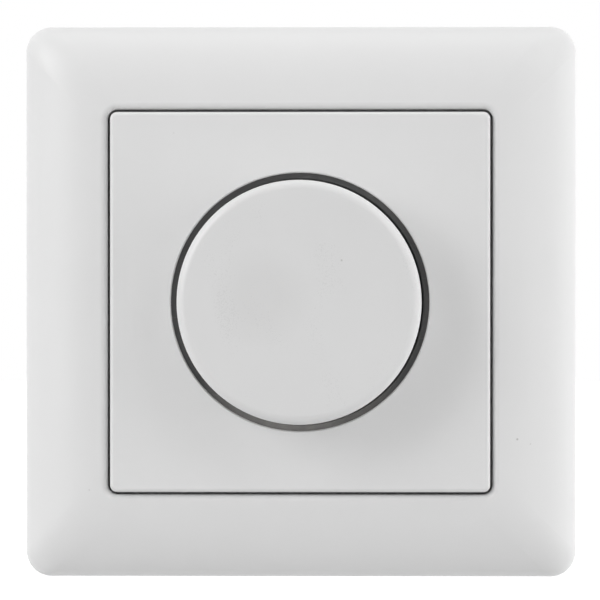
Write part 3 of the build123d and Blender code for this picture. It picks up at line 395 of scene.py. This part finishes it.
def dress(piece, finish):
    piece.data.materials.clear()
    piece.data.materials.append(finishes[finish])


for row in frame["record"]["subparts"]:
    dress(nodes[row["node"]], row["material_slot"])


# Pieces made here
SAME_PLACE = 0.001 * MM
CRISP_EDGE = radians(35)


def make_piece(name, bm, finish, body):
    """Makes a mesh object of a bmesh, with smooth faces and crisp edges, that rides on a CAD body."""
    mesh = bpy.data.meshes.new(name)
    bm.to_mesh(mesh)
    bm.free()
    piece = bpy.data.objects.new(name, mesh)
    bpy.context.scene.collection.objects.link(piece)
    mesh.shade_smooth()
    mesh.set_sharp_from_angle(angle=CRISP_EDGE)
    mesh.materials.append(finishes[finish])
    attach(piece, body)
    return piece


def merged_copy(name):
    """A copy of a CAD node's mesh, with its loose triangles joined."""
    bm = bmesh.new()
    bm.from_mesh(nodes[name].data)
    bmesh.ops.remove_doubles(bm, verts=bm.verts, dist=SAME_PLACE)
    return bm


def closed_outline(bm, places):
    """The corners and edges of one closed section, ready to be spun."""
    corners = [bm.verts.new(place) for place in places]
    return [*corners, *(bm.edges.new(pair) for pair in zip(corners, corners[1:] + corners[:1]))]


# Plate carrier: the CAD dish, with the raised rim that is seen round the knob. The rim's dark colour is
# partly the insert's dark plastic and partly painted shade, which stands in for the shade deep in the gap.
RIM_INNER_R = 17.85 * MM
RIM_OUTER_R = 19.1 * MM
RIM_SUNK = 0.1 * MM
RIM_CHAMFER = 0.15 * MM
RIM_HEIGHT = 2.5 * MM
RIM_SIDES = 144


def rimmed_carrier():
    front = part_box("plate_carrier")[0].y + RIM_SUNK
    section = [(RIM_OUTER_R, front), (RIM_INNER_R + RIM_CHAMFER, front), (RIM_INNER_R, front + RIM_CHAMFER),
               (RIM_INNER_R, front + RIM_HEIGHT), (RIM_OUTER_R, front + 1.5 * RIM_HEIGHT)]
    bm = merged_copy("plate_carrier")
    outline = closed_outline(bm, [(radius, y, 0) for radius, y in section])
    bmesh.ops.spin(bm, geom=outline, cent=(0, 0, 0), axis=(0, 1, 0), angle=2 * pi, steps=RIM_SIDES,
                   use_merge=True)
    bmesh.ops.remove_doubles(bm, verts=bm.verts, dist=SAME_PLACE)
    bmesh.ops.recalc_face_normals(bm, faces=bm.faces)
    piece = make_piece("rimmed_plate_carrier", bm, "ring_plastic_and_shade", "insert")
    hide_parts("plate_carrier")


def flattening_spring():
    piece = make_piece("flattening_return_spring", merged_copy("return_spring"), "spring_steel", "insert")
    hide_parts("return_spring")
    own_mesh(piece)


# Claw screws: the CAD screws' own heads, on shanks with a real thread
HEAD_UNDER = -1.2 * MM
NECK_LENGTH = 0.4 * MM
SHANK_R = 1.5 * MM
SHANK_SIDES = 32
SHANK_SUNK = 0.2 * MM
SHANK_TIP = 0.5 * MM
THREAD_PITCH = 0.5 * MM
THREAD_DEPTH = 0.28 * MM
THREAD_SUNK = 0.04 * MM
THREAD_FOOT = 0.92 * THREAD_PITCH
THREAD_CREST = 0.16 * THREAD_PITCH
THREAD_STEPS = 24


def shank(bm, start, end, axis_z, radius):
    """A round bar along Y with a chamfered tip."""
    place = Matrix.Translation((0, (start + end) / 2, axis_z)) @ Matrix.Rotation(-pi / 2, 4, "X")
    bar = bmesh.ops.create_cone(bm, cap_ends=True, segments=SHANK_SIDES, radius1=radius, radius2=radius,
                                depth=end - start, matrix=place)
    tip = {vert for vert in bar["verts"] if vert.co.y > (start + end) / 2}
    edges = [edge for edge in bm.edges if tip.issuperset(edge.verts)]
    bmesh.ops.bevel(bm, geom=edges, offset=SHANK_TIP, segments=1, profile=0.5, affect="EDGES", material=-1)


def thread_ridge(bm, start, end, axis_z, core, crest):
    """A right-hand ridge that winds round the bar, sunk a little into it."""
    foot = core - THREAD_SUNK
    section = [(foot, -THREAD_FOOT / 2), (crest, -THREAD_CREST / 2), (crest, THREAD_CREST / 2),
               (foot, THREAD_FOOT / 2)]
    turns = int((end - start) / THREAD_PITCH)
    outline = closed_outline(bm, [(0, start + along, axis_z + out) for out, along in section])
    wound = bmesh.ops.spin(bm, geom=outline, cent=(0, start, axis_z), axis=(0, 1, 0),
                           dvec=(0, THREAD_PITCH / THREAD_STEPS, 0), angle=2 * pi * turns,
                           steps=turns * THREAD_STEPS, use_merge=False)
    for end_outline in (outline, wound["geom_last"]):
        edges = [part for part in end_outline if isinstance(part, bmesh.types.BMEdge)]
        bmesh.ops.holes_fill(bm, edges=edges)


def claw_screw(place):
    name = f"claw_screw_{place}"
    low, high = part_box(name)
    axis_z = (low.z + high.z) / 2
    neck = HEAD_UNDER + NECK_LENGTH
    bm = merged_copy(name)
    cut = bmesh.ops.bisect_plane(bm, geom=[*bm.verts, *bm.edges, *bm.faces], plane_co=(0, neck, 0),
                                 plane_no=(0, 1, 0), clear_outer=True)
    rim = [part for part in cut["geom_cut"] if isinstance(part, bmesh.types.BMEdge)]
    bmesh.ops.holes_fill(bm, edges=rim)
    core = SHANK_R - THREAD_DEPTH
    shank(bm, neck - SHANK_SUNK, high.y, axis_z, core)
    thread_ridge(bm, neck + THREAD_PITCH, high.y - 2 * THREAD_PITCH, axis_z, core, SHANK_R)
    bmesh.ops.recalc_face_normals(bm, faces=bm.faces)
    piece = make_piece(f"threaded_{name}", bm, "steel_screw", f"{place}_screw")
    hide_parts(name)


rimmed_carrier()
flattening_spring()
for place in ("upper", "lower"):
    claw_screw(place)


# Floor, light and camera
FLOOR_DROP = 0.12
FLOOR_HALF = 6.0
FLOOR_CLOUD = 0.05
SHADOW_REACH = (0.25, 0.9)
CAMERA_AWAY = 0.60
CAMERA_RIGHT = radians(1.0)
CAMERA_UP = radians(0.3)
SENSOR = 36.0
IMAGE_PX = 600
FRAME_PX = 551.0
FRAME_MIDDLE_PX = (300.55, 301.85)


def seen_directly(tree):
    """1 on rays from the camera, from mirrors and from glass, and 0 on all others."""
    path = tree.nodes.new("ShaderNodeLightPath")
    shiny = combine(tree, "MAXIMUM", path.outputs["Is Glossy Ray"], path.outputs["Is Transmission Ray"])
    return combine(tree, "MAXIMUM", path.outputs["Is Camera Ray"], shiny)


def make_world(ambient):
    world = bpy.data.worlds.new("studio")
    bpy.context.scene.world = world
    world.use_nodes = True
    tree = world.node_tree
    background = tree.nodes["Background"]
    background.inputs["Color"].default_value = (1, 1, 1, 1)
    tree.links.new(spread(tree, seen_directly(tree), ambient, 1.0, 0, 1), background.inputs["Strength"])


def make_floor():
    """A pale floor that fades to plain white away from the object, and keeps its shadow near it."""
    bm = bmesh.new()
    bmesh.ops.create_grid(bm, x_segments=1, y_segments=1, size=FLOOR_HALF)
    bmesh.ops.translate(bm, vec=(0, 0, cad_box[0][2] - FLOOR_DROP), verts=bm.verts)
    mesh = bpy.data.meshes.new("floor")
    bm.to_mesh(mesh)
    bm.free()
    floor = bpy.data.objects.new("floor", mesh)
    bpy.context.scene.collection.objects.link(floor)
    material, tree, shader = new_material("floor", Roughness=0.9, Emission_Color=(1, 1, 1, 1))
    place = object_place(tree)
    cloud = noise(tree, place, FLOOR_CLOUD)
    colour = blend_colours(tree, spread(tree, cloud, 0, 1), grey(0.60), grey(0.59))
    tree.links.new(colour, shader.inputs["Base Color"])
    away = tree.nodes.new("ShaderNodeVectorMath")
    away.operation = "LENGTH"
    tree.links.new(place, away.inputs[0])
    white = spread(tree, away.outputs["Value"], 0.45, 1.0, *SHADOW_REACH)
    tree.links.new(combine(tree, "MULTIPLY", white, seen_directly(tree)), shader.inputs["Emission Strength"])
    mesh.materials.append(material)


def softbox(name, place, size, power, mirrored=True):
    """A square lamp that faces the middle of the switch. Shiny surfaces reflect it only if it is mirrored."""
    data = bpy.data.lights.new(name, "AREA")
    data.shape = "SQUARE"
    data.size = size
    data.energy = power
    lamp = bpy.data.objects.new(name, data)
    lamp.location = place
    lamp.rotation_euler = (-Vector(place)).to_track_quat("-Z", "Y").to_euler()
    lamp.visible_glossy = mirrored
    bpy.context.scene.collection.objects.link(lamp)


def make_camera():
    """Looks at the middle of the cover frame, which fills the picture as it does in the photo."""
    low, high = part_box("cover_frame")
    middle = (low + high) / 2
    data = bpy.data.cameras.new("camera")
    data.sensor_width = SENSOR
    seen = (high.x - low.x) * IMAGE_PX / FRAME_PX
    data.lens = SENSOR * CAMERA_AWAY / seen
    data.shift_x = 0.5 - FRAME_MIDDLE_PX[0] / IMAGE_PX
    data.shift_y = FRAME_MIDDLE_PX[1] / IMAGE_PX - 0.5
    camera = bpy.data.objects.new("camera", data)
    back = Vector((sin(CAMERA_RIGHT) * cos(CAMERA_UP), -cos(CAMERA_RIGHT) * cos(CAMERA_UP), sin(CAMERA_UP)))
    camera.location = middle + back * CAMERA_AWAY
    camera.rotation_euler = (-back).to_track_quat("-Z", "Y").to_euler()
    bpy.context.scene.collection.objects.link(camera)
    bpy.context.scene.camera = camera


make_world(ambient=0.187)
make_floor()
softbox("upper_left", (-0.68, -0.50, 0.34), 0.45, 2.30)
softbox("upper_mid_left", (-0.50, -0.60, 0.50), 0.25, 0.45)
softbox("upper_mid_right", (0.50, -0.60, 0.50), 0.25, 0.60)
softbox("left_front", (-0.60, -0.60, 0.0), 0.40, 0.70)
softbox("right_front", (0.50, -0.70, 0.0), 0.28, 0.40)
softbox("right_side", (0.80, -0.20, 0.05), 0.80, 2.40, mirrored=False)
softbox("left_edge", (-0.80, -0.03, 0.05), 0.70, 1.80, mirrored=False)
softbox("right_edge", (0.85, -0.03, 0.05), 0.60, 3.10, mirrored=False)
softbox("top_edge", (0.0, -0.06, 0.80), 0.60, 2.85, mirrored=False)
softbox("behind_left", (-0.35, 0.85, 0.30), 0.50, 2.40, mirrored=False)
softbox("behind_right", (0.35, 0.85, 0.30), 0.50, 2.40, mirrored=False)
make_camera()
bpy.context.scene.view_settings.view_transform = "Standard"
